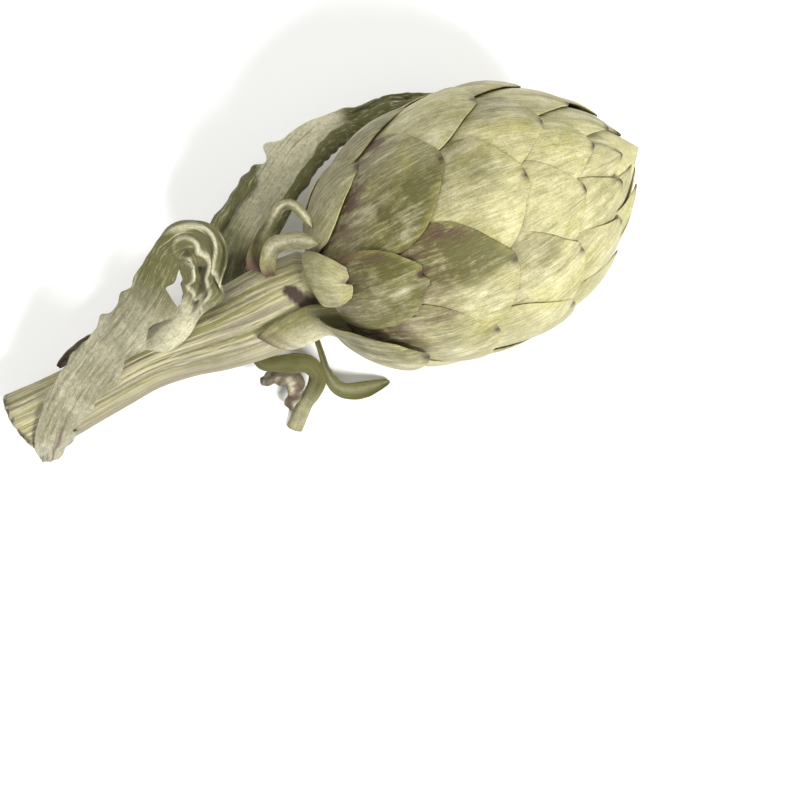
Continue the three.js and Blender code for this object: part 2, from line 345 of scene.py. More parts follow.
def thicken(piece, thickness, offset=-1):
    """Gives a sheet its wall, by the weights of its vertex group."""
    piece.vertex_groups.new(name="thickness")
    solid = piece.modifiers.new("Thickness", "SOLIDIFY")
    solid.thickness = thickness
    solid.offset = offset
    solid.vertex_group = "thickness"
    solid.use_rim = True
    piece.modifiers.move(piece.modifiers.find("Thickness"), 0)


def wave(x, y, z, size):
    """Smooth noise between -1 and 1, over a size in the same unit as the place."""
    return noise.noise(Vector((x, y, z)) / size)


# ---- Materials ----


class Nodes:
    """Adds and links the nodes of one material or group."""

    def __init__(self, tree):
        self.tree = tree

    def add(self, kind, inputs=(), **settings):
        node = self.tree.nodes.new(kind)
        for key, value in settings.items():
            setattr(node, key, value)
        for key, value in dict(inputs).items():
            self.put(node.inputs[key], value)
        return node

    def put(self, socket, value):
        if isinstance(value, bpy.types.NodeSocket):
            self.tree.links.new(value, socket)
        elif hasattr(value, "__len__") and len(value) == 3 and len(socket.default_value) == 4:
            socket.default_value = (*value, 1)
        else:
            socket.default_value = value

    def math(self, operation, a, b=0.0, limit=False):
        node = self.add("ShaderNodeMath", operation=operation, use_clamp=limit)
        self.put(node.inputs[0], a)
        self.put(node.inputs[1], b)
        return node.outputs[0]

    def step(self, value, low, high, end=1.0, start=0.0):
        """start up to low, end above high and a soft step between them, which may run either way."""
        inputs = {"Value": value, "From Min": low, "From Max": high, "To Min": start, "To Max": end}
        return self.add("ShaderNodeMapRange", inputs, interpolation_type="SMOOTHSTEP").outputs[0]

    def times(self, a, b, limit=False):
        return self.math("MULTIPLY", a, b, limit)

    def plus(self, a, b, limit=False):
        return self.math("ADD", a, b, limit)

    def paint(self, colour, *coats):
        """Lays further colours over a colour, each by its own factor, and gives the result."""
        for factor, coat in coats:
            node = self.add("ShaderNodeMix", data_type="RGBA")
            self.put(node.inputs[0], factor)
            self.put(node.inputs[6], colour)
            self.put(node.inputs[7], coat)
            colour = node.outputs[2]
        return colour

    def attribute(self, name):
        return self.add("ShaderNodeAttribute", attribute_name=name).outputs["Fac"]

    def noise(self, vector, scale, detail=3.0, roughness=0.55, distortion=0.0):
        inputs = {"Vector": vector, "Scale": scale, "Detail": detail, "Roughness": roughness}
        return self.add("ShaderNodeTexNoise", {**inputs, "Distortion": distortion}).outputs["Fac"]

    def stretched(self, vector, across, along):
        return self.add("ShaderNodeMapping", {"Vector": vector, "Scale": (across, along, 1)}).outputs[0]

    def blotch(self, blotches, size, low, high, shift=0.0):
        return self.group(blotches, Size=size, Low=low, High=high, Shift=shift).outputs["Mask"]

    def group(self, tree, **values):
        node = self.add("ShaderNodeGroup", node_tree=tree)
        for key, value in values.items():
            self.put(node.inputs[key.replace("_", " ").capitalize()], value)
        return node


def node_group(name, inputs, outputs):
    tree = bpy.data.node_groups.new(name, "ShaderNodeTree")
    for socket, (kind, default) in inputs.items():
        made = tree.interface.new_socket(name=socket, in_out="INPUT", socket_type=kind)
        if default is not None:
            made.default_value = default
    for socket, kind in outputs.items():
        tree.interface.new_socket(name=socket, in_out="OUTPUT", socket_type=kind)
    build = Nodes(tree)
    return build, build.add("NodeGroupInput"), build.add("NodeGroupOutput")


FLOAT, VECTOR = "NodeSocketFloat", "NodeSocketVector"


def fibre_group():
    """Fine lengthwise fibres: coarse bands and hair lines along the second texture axis."""
    build, source, result = node_group(
        "Plant fibres",
        {"Place": (VECTOR, None), "Width": (FLOAT, 1.0), "Waver": (FLOAT, 0.6)},
        {"Bands": FLOAT, "Hairs": FLOAT},
    )
    place = source.outputs["Place"]
    waver = build.noise(place, 0.9, 2)
    shift = build.times(build.math("SUBTRACT", waver, 0.5), source.outputs["Waver"])
    apart = build.add("ShaderNodeSeparateXYZ", {"Vector": place})
    across = build.times(build.plus(apart.outputs[0], shift), source.outputs["Width"])
    bent = build.add("ShaderNodeCombineXYZ", {"X": across, "Y": apart.outputs[1], "Z": apart.outputs[2]})
    bands = build.noise(build.stretched(bent.outputs[0], 11, 0.7), 1.0, 5, 0.65)
    hairs = build.noise(build.stretched(bent.outputs[0], 38, 2.2), 1.0, 4, 0.7)
    build.put(result.inputs["Bands"], bands)
    build.put(result.inputs["Hairs"], hairs)
    return build.tree


def blotch_group():
    """Soft blotches in the object's own space, as a mask between two levels of noise."""
    build, source, result = node_group(
        "Blotches",
        {"Size": (FLOAT, 10.0), "Low": (FLOAT, 0.45), "High": (FLOAT, 0.65), "Shift": (FLOAT, 0.0)},
        {"Mask": FLOAT},
    )
    place = build.add("ShaderNodeTexCoord").outputs["Object"]
    moved = build.add("ShaderNodeVectorMath", operation="ADD")
    build.put(moved.inputs[0], place)
    build.put(moved.inputs[1], source.outputs["Shift"])
    scale = build.math("DIVIDE", 1000.0, source.outputs["Size"])
    value = build.noise(moved.outputs[0], scale, 4, 0.6, 0.3)
    mask = build.step(value, source.outputs["Low"], source.outputs["High"])
    build.put(result.inputs["Mask"], mask)
    return build.tree


def new_material(name):
    material = bpy.data.materials.new(name)
    material.use_nodes = True
    build = Nodes(material.node_tree)
    shader = material.node_tree.nodes["Principled BSDF"]
    return material, build, shader


def fibrous_material(name, fibres, **fibre_settings):
    """A new material with its place along the fibres, and their coarse bands and fine hairs."""
    _, build, shader = new_material(name)
    place = build.add("ShaderNodeUVMap", uv_map="fibres").outputs["UV"]
    fibre = build.group(fibres, Place=place, **fibre_settings)
    return build, shader, place, fibre.outputs["Bands"], fibre.outputs["Hairs"]


def plant_shader(build, shader, colour, roughness, height, bump=0.5, depth=0.3, soft=0.06, sheen=0.15):
    """Ends a plant material: its colour, roughness, relief, a little light through it and its fuzz."""
    build.put(shader.inputs["Base Color"], colour)
    build.put(shader.inputs["Roughness"], roughness)
    relief = build.add("ShaderNodeBump", {"Strength": bump, "Distance": depth * MM, "Height": height})
    build.put(shader.inputs["Normal"], relief.outputs["Normal"])
    shader.inputs["Subsurface Weight"].default_value = soft
    shader.inputs["Subsurface Radius"].default_value = (1.0, 0.9, 0.4)
    shader.inputs["Subsurface Scale"].default_value = 1.2 * MM
    shader.inputs["Sheen Weight"].default_value = sheen
    shader.inputs["Sheen Roughness"].default_value = 0.6
    shader.inputs["Specular IOR Level"].default_value = 0.35


def bract_material(head, fibres, blotches):
    """A bract: dull and pale patches, fibres, green and blush by its attributes, specks and a margin."""
    build, shader, place, bands, hairs = fibrous_material("Bract", fibres, Waver=0.16)
    dull = build.blotch(blotches, 18.0, 0.36, 0.64)
    fine = build.blotch(blotches, 2.6, 0.42, 0.7, 0.7)
    patch = build.blotch(blotches, 8.0, 0.34, 0.62, 0.3)
    bright = build.blotch(blotches, 11.0, 0.48, 0.68, 1.3)
    brushed = build.noise(build.stretched(place, 1.5, 0.45), 1.0, 5, 0.66)
    tone, green = build.attribute("tone"), build.attribute("green")
    blush, edge, scar = build.attribute("blush"), build.attribute("edge"), build.attribute("scar")

    space = build.add("ShaderNodeTexCoord").outputs["Object"]
    mottled = build.plus(build.times(patch, 0.65), 0.3)
    mottled = build.plus(mottled, build.step(bands, 0.62, 0.4, 0.35))
    mottled = build.times(mottled, build.step(brushed, 0.64, 0.42, 1.0, 0.6))
    stain_noise = build.noise(build.stretched(place, 3.5, 1.1), 1.0, 5, 0.7)
    grain = build.noise(space, 1500.0, 2, 0.7)
    flecks = build.noise(space, 240.0, 4, 0.75)
    colour = build.paint(
        head.pale,
        (build.plus(build.times(dull, 0.35), tone, True), head.grey),
        (build.step(brushed, 0.52, 0.36, 0.55), head.grey),
        (build.step(brushed, 0.5, 0.66, 0.45), head.cream),
        (build.times(bright, 0.55), head.margin),
        (build.step(bands, 0.5, 0.66, 0.3), head.cream),
        (build.step(bands, 0.5, 0.36, 0.3), head.grey),
        (build.step(hairs, 0.48, 0.66, 0.28), head.cream),
        # olive by the green attribute: the bract's own green, and on some bracts painted shade on one side
        (build.math("MINIMUM", build.times(green, mottled), 0.93), head.olive),
        (build.times(blush, build.step(stain_noise, 0.38, 0.6, 1.0, 0.12), True), head.blush),
        (build.step(hairs, 0.5, 0.68, 0.1), head.cream),
        (build.step(hairs, 0.52, 0.34, 0.25), head.olive),
        (build.times(fine, 0.2), head.olive),
        (build.step(grain, 0.52, 0.36, 0.22), head.olive),
        (build.times(build.step(edge, 3.6, 0.2), build.step(brushed, 0.4, 0.6, 0.28)), head.margin),
        (build.step(flecks, 0.69, 0.74, 0.7), head.scar),
        (scar, head.scar),
    )

    height = build.plus(hairs, build.times(bands, 0.8))
    roughness = build.step(bands, 0.3, 0.7, 0.5, 0.62)
    plant_shader(build, shader, colour, roughness, height, 0.42, 0.3, sheen=0.03)


# ---- Bracts ----

# The bracts that grew away from the spiral, as in the frame.
HABITS = {
    SCALE_BRACT: {"turn": 12, "reach": 6, "width": 0.95},
    ROLLED_BRACT: {"turn": 20, "reach": 4, "width": 1.05, "layer": -4},
    5: {"turn": 4.5, "reach": 12, "width": 1.2, "layer": RESTING_LAYER},
    SPLIT_BRACT: {"turn": 10, "width": 0.76},
    20: {"turn": -2},
}

# Looks of the plainly seen bracts. green, blush and tone are amounts; the side entry gives the side
# painted olive, partly the bract's own green and partly painted shade on a side turned from the light;
# notch is a depth in millimetres; roof is how sharply the two sides meet.
LOOKS = {
    SCALE_BRACT: {"green": 0.15, "blush": 0.0, "tone": 0.0, "roof": 2.2},
    ROLLED_BRACT: {"green": 1.1, "blush": 0.4, "tone": 0.5, "notch": 1.0},
    6: {"green": 0.7, "blush": 1.0, "tone": 0.5},
    SPLIT_BRACT: {"green": 1.5, "blush": 1.2, "tone": 0.8, "notch": 4.2, "olive_and_shade_side": -0.3, "tuck": 3.5},
    11: {"green": 0.8, "blush": 1.3, "tone": 0.5, "notch": 1.2},
    12: {"green": 0.6, "blush": 1.2, "tone": 0.3, "notch": 1.6, "olive_and_shade_side": -0.4},
    14: {"green": 1.4, "blush": 1.4, "tone": 0.75, "notch": 0.8, "olive_and_shade_side": 0.7, "tuck": 4.6},
    17: {"green": 1.6, "blush": 1.2, "tone": 0.4, "notch": 1.2, "olive_and_shade_side": -1, "roof": 1.25, "tuck": 5},
    19: {"green": 0.3, "blush": 0.0, "tone": 0.0, "notch": 1.6},
    22: {"green": 0.5, "blush": 0.5, "tone": 0.0, "notch": 1.2, "olive_and_shade_side": -0.6, "tuck": 5.2},
    25: {"green": 0.8, "blush": 0.5, "tone": 0.0, "olive_and_shade_side": -0.8},
    27: {"green": 0.8, "blush": 0.0, "tone": 0.1, "olive_and_shade_side": -1, "roof": 1.3},
}

# The lowest bract lies on the stem's neck as a round scale: its half width from end to end.
SCALE_START = -2.6
SCALE_WIDTHS = [2.6, 5.6, 7.2, 8.1, 8.5, 8.5, 8.2, 7.5, 6.4, 4.6]


class Bract:
    """One bract: its place in the spiral, its habit and its looks."""

    def __init__(self, number, shape, seed):
        draw = random.Random(seed * 1000 + number)
        habit = HABITS.get(number, {})
        index = number - 1
        self.number = number
        self.shape = shape
        self.middle = math.radians(FIRST_ANGLE + GOLDEN_ANGLE * index + habit.get("turn", 0))
        self.reach = reach_of(index) + habit.get("reach", 0)
        self.layer = habit.get("layer", index)
        self.young = min(1, 0.45 + 0.05 * index) * habit.get("width", 1)
        self.half = BRACT_HALF_WIDTH * self.young
        self.turn = draw.uniform(-1, 1)
        self.keel = draw.uniform(0.2, 0.9)
        self.is_scale = number == SCALE_BRACT
        looks = {
            "green": draw.uniform(0.15, 0.6),
            "blush": draw.uniform(0.0, 0.4),
            "tone": draw.uniform(0.0, 0.25),
            "notch": draw.uniform(0.8, 2.4),
            "tuck": draw.uniform(9.0, 10.8),
            "roof": draw.uniform(1.5, 2.4),
            "olive_and_shade_side": draw.uniform(-1, 1),
        }
        looks.update(LOOKS.get(number, {}))
        if number > LAST_OUTER_BRACT:
            looks["green"] *= 0.7
            looks["tone"] *= 0.4
        looks["tuck"] *= mix(1, 0.55, smooth(number, 32, 44))
        self.looks = looks

    def outline_gap(self, across):
        """How far short of the bract's reach its outline ends at a place across it."""
        sideways = across * self.half
        notch = self.looks["notch"] * bump_at(sideways, 0.4 * self.turn, 1.3)
        if self.number == SPLIT_BRACT:
            notch += 2.6 * bump_at(sideways, 4.6, 1.1)
        ragged = 0.6 * wave(sideways, self.number * 7, 0, 2.5) + 0.25 * wave(sideways, self.number, 5, 0.8)
        rounding = BRACT_ROUNDING * (math.asin(min(1, abs(across))) * 2 / math.pi) ** (1 / 0.9)
        return rounding + notch + ragged * (1 - abs(across) ** 4)

    def half_angle(self, distance):
        cap = math.radians(BRACT_HALF_ANGLE) * min(1, self.young + 0.2)
        return min(self.half / max(self.shape.outline(distance)[1], 0.5), cap)

    def inward(self, across, from_tip):
        """How far the outer skin lies under its layer, in layer steps."""
        side = 1.5 if across > 0 else 2.3
        side += 2.4 * smooth(self.number, 19, 28)
        pressed = side * abs(across) ** self.looks["roof"]
        if self.number == ROLLED_BRACT:
            pressed -= 7 * smooth(-across, 0.55, 0.95) * smooth(from_tip, 2, 8)
        keel = -self.keel * bump_at(across * self.half, 0, 4.5) * smooth(from_tip, 60, 4)
        tucked = self.looks["tuck"] * (1 - clamp(from_tip / 19)) ** 1.8
        tucked *= 1 - 0.45 * across * across
        return pressed + keel + tucked

    def unevenness(self, sideways, distance, from_tip):
        seed = self.number * 31
        swell = 0.75 * wave(sideways, distance * 0.7, seed, 13) * smooth(from_tip, 55, 20)
        pleats = 0.16 * wave(sideways * 3.2, distance * 0.4, seed, 6)
        return swell + pleats + 0.1 * wave(sideways * 1.5, distance, seed, 2.4)

    def vertex(self, across, share):
        if self.is_scale:
            return self.scale_vertex(across, share)
        end = self.reach - self.outline_gap(across)
        distance = end * (1 - (1 - share) ** 1.5)
        from_tip = self.reach - distance
        width = self.half_angle(distance)
        radius = self.shape.outline(distance)[1]
        sideways = across * width * radius
        inward = self.inward(across, from_tip) + self.unevenness(sideways, distance, from_tip)
        layer = self.layer - index_at(distance) + inward
        point = self.shape.point(distance, self.middle + across * width, layer)
        edge = min((1 - abs(across)) * width * radius, end - distance)
        return self.finished(point, across, sideways, from_tip, edge, end - distance)

    def scale_vertex(self, across, share):
        end = self.reach - 2.6 - 2.4 * bump_at(across * 7, -0.6, 1.0) - 3.4 * max(across, 0) ** 2
        distance = mix(SCALE_START, end, share)
        half = spline_at(SCALE_WIDTHS, share)
        x, radius = self.shape.layer(max(distance, 0), -index_at(distance) - 1 + 2 * across**2)
        turn = math.radians(mix(-14, 7, share))
        sideways = across * half
        angle = turn + sideways / radius
        lift = 0.9 * (1 - across**2) * math.sin(math.pi * share) + 0.35 * wave(sideways, distance, 3, 6)
        curl = 1.2 * smooth(share, 0.75, 1.0)
        ring = Vector((x + min(distance, 0), -(radius + lift - curl) * math.sin(angle), 0))
        ring.z = (radius + lift - curl) * math.cos(angle)
        edge = min((1 - abs(across)) * half, end - distance, (distance - SCALE_START) * 0.5 + 0.5)
        return self.finished(ring, across, sideways, end - distance, edge, end - distance)

    def finished(self, point, across, sideways, from_tip, edge, to_end):
        looks = self.looks
        thin = mix(1, 0.34, max(smooth(abs(across), 0.35, 0.7), smooth(edge, 5, 0)))
        # The side painted olive: on some plainly seen bracts this is painted shade on the side turned from
        # the light.
        side = smooth(across * (1 if looks["olive_and_shade_side"] > 0 else -1), -0.25, 0.35)
        side = mix(0.7, side, abs(looks["olive_and_shade_side"]))
        base = smooth(from_tip, 12, 38)
        hole = bump_at(sideways, 0.4 * self.turn, 1.4) * smooth(to_end, 2.4, 0.4)
        attributes = {
            "edge": edge,
            "tone": looks["tone"],
            "green": looks["green"] * smooth(from_tip, 62, 12) * side,
            "blush": looks["blush"] * max(base * smooth(-across, -1.0, 0.4), smooth(-across, 0.45, 0.9)),
            "scar": clamp((0.6 if self.is_scale else 1.5) * hole),
        }
        texture = (across * self.half / FIBRE_UNIT, from_tip / FIBRE_UNIT + self.number * 3)
        return self.shape.to_row @ point, thin, texture, attributes


class ARTICHOKE_OT_bracts(bpy.types.Operator):
    """Make the bracts of the head and the last tips of its bud, each from a grid in its own layer"""

    bl_idname = "artichoke.bracts"
    bl_label = "Bracts"
    COLUMNS = 22
    ROWS = 30

    def execute(self, context):
        head = context.scene.artichoke_head
        shape = HeadShape(head.tilt)
        material = bpy.data.materials["Bract"]
        made = [(name + "_skin", name, "bract", int(name[-2:])) for name in BRACTS]
        made += [(f"heart_tip_{number}", "heart", "bud", number) for number in TIPS_OF_BUD]
        for name, node, slot, number in made:
            bract = Bract(number, shape, head.seed)
            sheet = Sheet(self.COLUMNS, self.ROWS)
            sheet.place(bract.vertex, 0.05)
            middle = shape.to_row @ Vector((LAYERS_SHRINK_TO, 0, 0))
            sheet.face_towards(lambda place: place - middle)
            piece = finish_object(name, sheet.mesh, material, node)
            thicken(piece, head.thickness)
        return {"FINISHED"}


# ---- The closed bud inside ----


class ARTICHOKE_OT_heart(bpy.types.Operator):
    """Make the closed bud of the innermost bracts by spinning its profile"""

    bl_idname = "artichoke.heart"
    bl_label = "Heart"
    SIDES = 64
    ROWS = 32

    def execute(self, context):
        shape = HeadShape(context.scene.artichoke_head.tilt)
        under = len(BRACTS) - 1 + HEART_UNDER
        distances = [shape.length * step / self.ROWS for step in range(self.ROWS + 1)]
        profile = [shape.layer(distance, under - index_at(distance)) for distance in distances]
        profile[-1] = (profile[-1][0], 0)
        profile.insert(0, (profile[0][0], 0))
        mesh = spun(profile, self.SIDES)
        for vertex in mesh.verts:
            folds = wave(vertex.co.y, vertex.co.z, 3, 5) * smooth(vertex.co.x, 40, 90)
            vertex.co.yz = vertex.co.yz * (1 + 0.03 * folds)
        mesh.transform(shape.to_row)
        finish_object("heart_bud", mesh, bpy.data.materials["Bud"], "heart")
        return {"FINISHED"}


# ---- Stem ----

# Radius and sideways drift at equal steps from the neck to the cut, the receptacle's profile from the
# head's inside to the neck, and the cut face's rings as shares of the last radius.
STEM_START = 4
STEM_LENGTH = 98
CUT_SLANT = 0.2
STEM_RADII = [11.6, 12.4, 11.9, 10.8, 9.4, 8.7, 8.8, 9.1, 9.4, 9.6]
STEM_DRIFT = [0, -0.3, -0.7, -0.5, 0.2, 0.4, -0.4, -1.4, -2.1, -2.4]
RECEPTACLE = ((7.6, 0), (7.6, 3.3), (7.6, 6.6), (4, 7.8), (0, 9.2), (-3.2, 10.6))
CUT_FACE = (0.97, 0.9, 0.78, 0.62, 0.46, 0.3, 0.15, 0)


def stem_share(x):
    return clamp((-x - STEM_START) / (STEM_LENGTH - STEM_START))


class ARTICHOKE_OT_stem(bpy.types.Operator):
    """Make the ribbed stem with its cut end by spinning its profile and pressing in the furrows"""

    bl_idname = "artichoke.stem"
    bl_label = "Stem"
    SIDES = 184
    ROWS = 110

    def execute(self, context):
        settings = context.scene.artichoke_stem
        shape = HeadShape(context.scene.artichoke_head.tilt)
        visible = STEM_LENGTH - STEM_START
        profile = list(RECEPTACLE)
        for row in range(self.ROWS + 1):
            share = row / self.ROWS
            profile.append((-STEM_START - visible * share, spline_at(STEM_RADII, share)))
        for part in CUT_FACE:
            profile.append((-STEM_LENGTH - 0.3 + 0.9 * (1 - part), part * STEM_RADII[-1]))
        mesh = spun(profile, self.SIDES)
        self.shape_stem(mesh, settings, shape)
        mesh.transform(shape.to_row)
        finish_object("stem_skin", mesh, bpy.data.materials["Stem"], "stem")
        return {"FINISHED"}

    def groove_at(self, ribs, x, angle, share):
        """How far the ribs stand out or the furrows lie in at a place, as a share of a rib's height."""
        turn = angle + 0.2 * share + 0.05 * wave(share * 60, angle * 3, 2, 9)
        around = (math.cos(turn) * 10, math.sin(turn) * 10)
        phase = turn * ribs / (2 * math.pi) + 0.9 * wave(*around, 4, 4)
        ridge = abs(math.sin(math.pi * phase)) ** 0.6
        depth = 0.55 + 0.45 * wave(around[0] * 2, around[1] * 2, x * 0.12, 5)
        finer = 0.25 * wave(around[0] * 4, around[1] * 4, x * 0.06, 3)
        return ((ridge - 0.75) * depth + finer) * mix(0.2, 1, smooth(x, -9, -24))

    def shape_stem(self, mesh, settings, shape):
        """Presses in the furrows, roughens the cut, lays the stem's bend and writes its attributes."""
        uv = mesh.loops.layers.uv.new("fibres")
        names = ("groove", "cut", "rim", "scar", "shade")
        layers = {name: mesh.verts.layers.float.new(name) for name in names}
        places = {}
        high = settings.rib_height / MM
        for vertex in mesh.verts:
            x, y, z = vertex.co
            radius = math.hypot(y, z)
            angle = math.atan2(-y, z)
            share = stem_share(x)
            on_side = smooth(x, -3, -7)
            face = smooth(radius, 9.9, 9.2) if share > 0.99 else 0.0
            swell = spline_at(STEM_RADII, share) if on_side else radius
            groove = self.groove_at(settings.ribs, x, angle, share)
            lumps = 0.35 * wave(x, math.cos(angle) * 10, math.sin(angle) * 10, 13)
            if on_side and face < 0.5:
                radius = mix(radius, swell + high * groove + lumps, on_side)
            rim = smooth(share, 0.975, 1.0)
            if rim:
                ragged = 0.5 * wave(angle * 6, share * 30, 1, 1.1) + 0.3 * wave(angle * 17, 0, 4, 1)
                x += ragged * rim * (1 if face < 0.5 else 0.4)
                radius += 0.25 * rim * (1 - face) * wave(angle * 9, 3, 3, 1)
            y, z = -radius * math.sin(angle), radius * math.cos(angle)
            vertex.co.x = x - CUT_SLANT * share**6 * y
            vertex.co.y = y + spline_at(STEM_DRIFT, share)
            vertex.co.z = z
            height = shape.neck_height + vertex.co.dot(shape.up)
            vertex.co += shape.up * max(0, 0.05 - height)
            vertex[layers["groove"]] = groove
            vertex[layers["cut"]] = face
            vertex[layers["rim"]] = rim
            # Painted shade: the flank towards -Y, the key light's side, is darkened towards mauve.
            vertex[layers["shade"]] = smooth(angle, 0.25, 1.3) * smooth(share, 0.05, 0.3)
            torn = abs(x + 5.6 - 5.6 * (angle - 0.16)) / 2.3 + max(0, abs(angle - 0.2) - 0.4) * 8
            vertex[layers["scar"]] = smooth(torn, 1.2, 0.7) if on_side else 0.0
            places[vertex] = (angle, -x / FIBRE_UNIT)
        self.unwrap(mesh, uv, places)

    def unwrap(self, mesh, uv, places):
        """Lays the fibres' places on the faces, whole over the seam where the angle starts again."""
        for face in mesh.faces:
            angles = [places[loop.vert][0] for loop in face.loops]
            wraps = max(angles) - min(angles) > math.pi
            for loop in face.loops:
                angle, along = places[loop.vert]
                loop[uv].uv = ((angle + (2 * math.pi if wraps and angle < 0 else 0)), along)


def stem_material(stem, head, fibres, blotches):
    """The stem: light ribs over dark furrows, stripes, bands, the browned rim and the pale cut face."""
    build, shader, place, bands, hairs = fibrous_material("Stem", fibres, Width=1.3, Waver=0.1)
    groove = build.attribute("groove")
    mauve = build.blotch(blotches, 14.0, 0.42, 0.62, 0.4)
    olive = build.blotch(blotches, 9.0, 0.5, 0.66, 1.1)
    ring = build.blotch(blotches, 2.0, 0.35, 0.6)
    stripes = build.noise(build.stretched(place, 4.5, 0.1), 1.0, 4, 0.6)
    flecks = build.noise(build.add("ShaderNodeTexCoord").outputs["Object"], 300.0, 2)
    # Painted shade on the flank towards -Y, broken by the stripes.
    shade = build.times(build.attribute("shade"), build.step(stripes, 0.62, 0.45, 0.8, 0.45))
    cut = build.attribute("cut")
    browned = build.times(build.attribute("rim"), build.step(cut, 1.0, 0.2))
    colour = build.paint(
        stem.dark,
        (build.step(groove, -0.3, 0.1), stem.light),
        (build.times(mauve, 0.4), stem.mauve),
        (build.times(olive, 0.25), head.margin),
        (build.step(stripes, 0.51, 0.58, 0.85), stem.olive),
        (build.step(stripes, 0.48, 0.4, 0.8), stem.mauve),
        (build.step(bands, 0.47, 0.35, 0.65), stem.dark),
        (build.step(bands, 0.56, 0.7, 0.5), head.cream),
        (build.step(hairs, 0.48, 0.32, 0.35), stem.dark),
        (build.step(hairs, 0.54, 0.7, 0.4), head.cream),
        (build.step(flecks, 0.7, 0.76, 0.6), head.scar),
        # painted shade on the flank towards -Y
        (shade, stem.mauve),
        (cut, stem.pith),
        (build.times(browned, build.plus(ring, 0.35), True), head.scar),
        (build.attribute("scar"), head.scar),
    )
    height = build.plus(hairs, build.times(bands, 1.2))
    plant_shader(build, shader, colour, 0.62, height, 0.6, 0.4, sheen=0.05)


# ---- Leaves ----


class Route:
    """A leaf's middle line, with its half width, roll and cup, and a frame that stays level."""

    def __init__(self, points, neck_back):
        self.points = [(x - neck_back, *rest) for x, *rest in points]
        self.lengths = [0.0]
        previous = Vector(self.at(0)[:3])
        for step in range(1, 201):
            point = Vector(self.at(step / 200)[:3])
            self.lengths.append(self.lengths[-1] + (point - previous).length)
            previous = point

    def at(self, share):
        return spline_at(self.points, clamp(share))

    def length_to(self, share):
        place = clamp(share) * 200
        index = min(int(place), 199)
        return mix(self.lengths[index], self.lengths[index + 1], place - index)

    def frame_at(self, share):
        step = 0.004
        forward = Vector(self.at(min(1, share + step))[:3]) - Vector(self.at(max(0, share - step))[:3])
        forward.normalize()
        sideways = Vector((0, 0, 1)).cross(forward).normalized()
        upward = forward.cross(sideways)
        return forward, sideways, upward


def bent_blade(route, share, offset, height=0.0):
    """A point of a blade bent about its route, at an offset across it and a height over it."""
    x, y, z, half, roll, cup = route.at(share)
    forward, sideways, upward = route.frame_at(share)
    turn = Matrix.Rotation(math.radians(roll), 3, forward)
    sideways, upward = turn @ sideways, turn @ upward
    bend = half / (math.radians(cup) or 1e-3)
    angle = offset / bend
    normal = sideways * math.sin(angle) + upward * math.cos(angle)
    return Vector((x, y, z)) - upward * bend + normal * (bend + height)


def rolled_section(across, half, left, right, radius):
    """Offset, height and share rolled, on a section whose margins roll up and inwards by two angles."""
    turn = left if across > 0 else right
    curl = max(turn, 1e-3)
    length = curl * radius * 0.8
    flat = max(half - radius * 0.6, 0.3)
    place = abs(across) * (flat + length)
    if place <= flat:
        return math.copysign(place, across), 0.0, 0.0
    angle = (place - flat) / length * curl
    spiral = radius * (1 - 0.25 * angle / math.pi)
    offset = flat + spiral * math.sin(angle)
    return math.copysign(offset, across), spiral * (1 - math.cos(angle)), smooth(angle, 0.2, 1.4)


# Routes of the leaves' middle lines, their x counted from the neck: x, y, z, half width, and roll and
# cup in degrees. The crumpled lobe lies beside the hanging leaf.
LONG_LEAF = [
    (-27, 11.5, 13.5, 4.5, 0, 15),
    (-23, 16.5, 19, 6.8, 0, 25),
    (-18.2, 21, 23.5, 7.8, 0, 30),
    (-4.4, 30.6, 26, 6.6, 0, 34),
    (9.6, 39.2, 25, 6.4, 0, 38),
    (19.4, 41.4, 22, 4.6, 0, 40),
    (29, 41.6, 18.5, 3.4, 0, 38),
    (38.5, 41.6, 14.5, 3, 0, 30),
    (51.8, 36.5, 8, 3, 0, 20),
    (63.6, 29.4, 3.4, 3, 0, 12),
    (73.3, 22.3, 1, 1.8, 0, 6),
]

REFLEXED_LEAF = [
    (-53.8, 3.9, 29.5, 2.2, 0, 10),
    (-48.5, 4, 31.6, 4.4, 0, 20),
    (-42.8, 5.4, 34.2, 4.4, 0, 20),
    (-37, 8.1, 38, 3.2, 0, -20),
    (-31.5, 12.5, 43, 4.8, 0, -40),
    (-28.1, 17.9, 47, 5.4, 0, -40),
    (-28.2, 22.9, 49.5, 5.2, 0, 10),
    (-31.7, 25, 50.5, 4.8, 0, 20),
    (-36.9, 23.6, 49.5, 5, 0, 20),
    (-43.1, 18.9, 46, 5.4, 0, 15),
    (-49.2, 14, 41, 5.9, 0, 15),
    (-56.9, 9.8, 36, 6.2, 0, 15),
    (-64.3, 6.4, 31, 6.6, 0, 18),
    (-72.4, 1.9, 27, 7.2, -8, 25),
    (-79.2, -2.6, 24.5, 7.4, -16, 35),
    (-85.6, -7.6, 20.5, 6.6, -26, 40),
    (-90.6, -12, 13.5, 5, -30, 30),
    (-93.5, -14.8, 6, 2.4, -30, 10),
]

HANGING_LEAF = [
    (-28, -8.8, 19.4, 2.4, 45, 10),
    (-25.6, -14, 18, 2.4, 40, 10),
    (-19.5, -16.6, 18, 3.4, 30, 12),
    (-14.5, -18.9, 16.5, 3.3, 20, 14),
    (-12.9, -22.8, 12.5, 2.9, 10, 14),
    (-16, -26.5, 8, 2.5, 0, 10),
    (-20.6, -29.8, 3.6, 2.4, 0, 8),
    (-25.5, -34.3, 0.8, 2.3, 0, 5),
]

HOOK_BRACTLET = [
    (-8.6, -9.4, 22.6, 1, 40, 5),
    (-8.5, -13.4, 19.5, 1, 40, 5),
    (-8.9, -18.2, 16, 1.3, 40, 10),
    (-9.5, -22.2, 11, 1.6, 30, 20),
    (-8.5, -28, 6, 2.3, 20, 25),
    (-3.2, -31.3, 3.6, 2.6, 10, 25),
    (6, -32.2, 1.1, 1.9, 0, 10),
]

